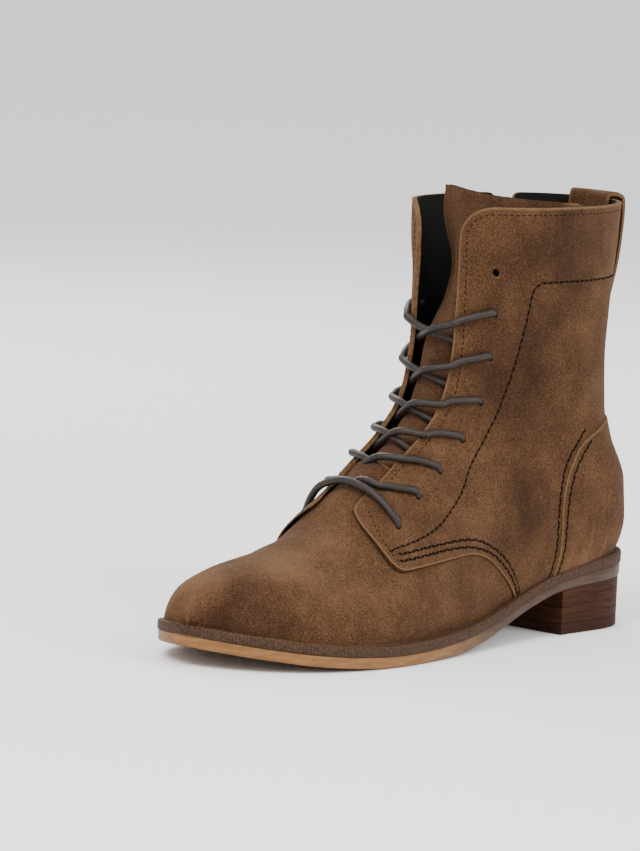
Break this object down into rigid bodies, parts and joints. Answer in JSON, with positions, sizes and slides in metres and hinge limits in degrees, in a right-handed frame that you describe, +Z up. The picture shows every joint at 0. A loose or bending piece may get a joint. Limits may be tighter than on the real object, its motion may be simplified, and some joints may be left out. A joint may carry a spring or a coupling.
{
  "type": "lace up ankle boot",
  "caption": "Empty left ankle boot in suede with a low stacked heel, open throat laced across a tongue, inner side zip and a pull loop at the back.",
  "frame": {"origin": "on the floor under the middle of the heel, at the centre of the heel rest face", "axes": "+Z up, toe towards -Y, outer (lateral) side towards +X"},
  "size_m": [0.0992, 0.269, 0.201],
  "materials": {
    "suede": "brushed suede nap",
    "tongue_suede": "brushed suede nap",
    "loop_suede": "brushed suede nap",
    "lining": "smooth, near black",
    "welt": "matt, ribbed edge",
    "outsole": "burnished edge",
    "heel_stack": "stacked grain, matt",
    "top_lift": "matt",
    "zip_tape": "woven",
    "zip_chain": "coil",
    "zip_metal": "warm bronze, satin",
    "lace": "waxed round braid"
  },
  "bodies": {
    "boot": {"upper": "suede", "tongue": "tongue_suede", "insole": "lining", "welt": "welt", "outsole": "outsole", "heel_block": "heel_stack", "heel_top_lift": "top_lift", "pull_loop": "loop_suede", "zip_tape": "zip_tape", "zip_chain": "zip_chain", "zip_slider": "zip_metal", "lace_bar": "lace", "lace_crossing_1": "lace", "lace_crossing_2": "lace", "lace_crossing_3": "lace", "lace_crossing_4": "lace", "lace_crossing_5": "lace", "lace_crossing_6": "lace"},
    "zip_pull": {"zip_pull_tab": "zip_metal"}
  },
  "joints": [
    {"name": "zip_pull_hinge", "type": "hinge", "parent": "boot", "child": "zip_pull", "pos_m": [-0.03571, -0.01253, 0.18779], "axis": [0.3261, 0.9405, -0.0954], "range_deg": [0, 150]}
  ]
}
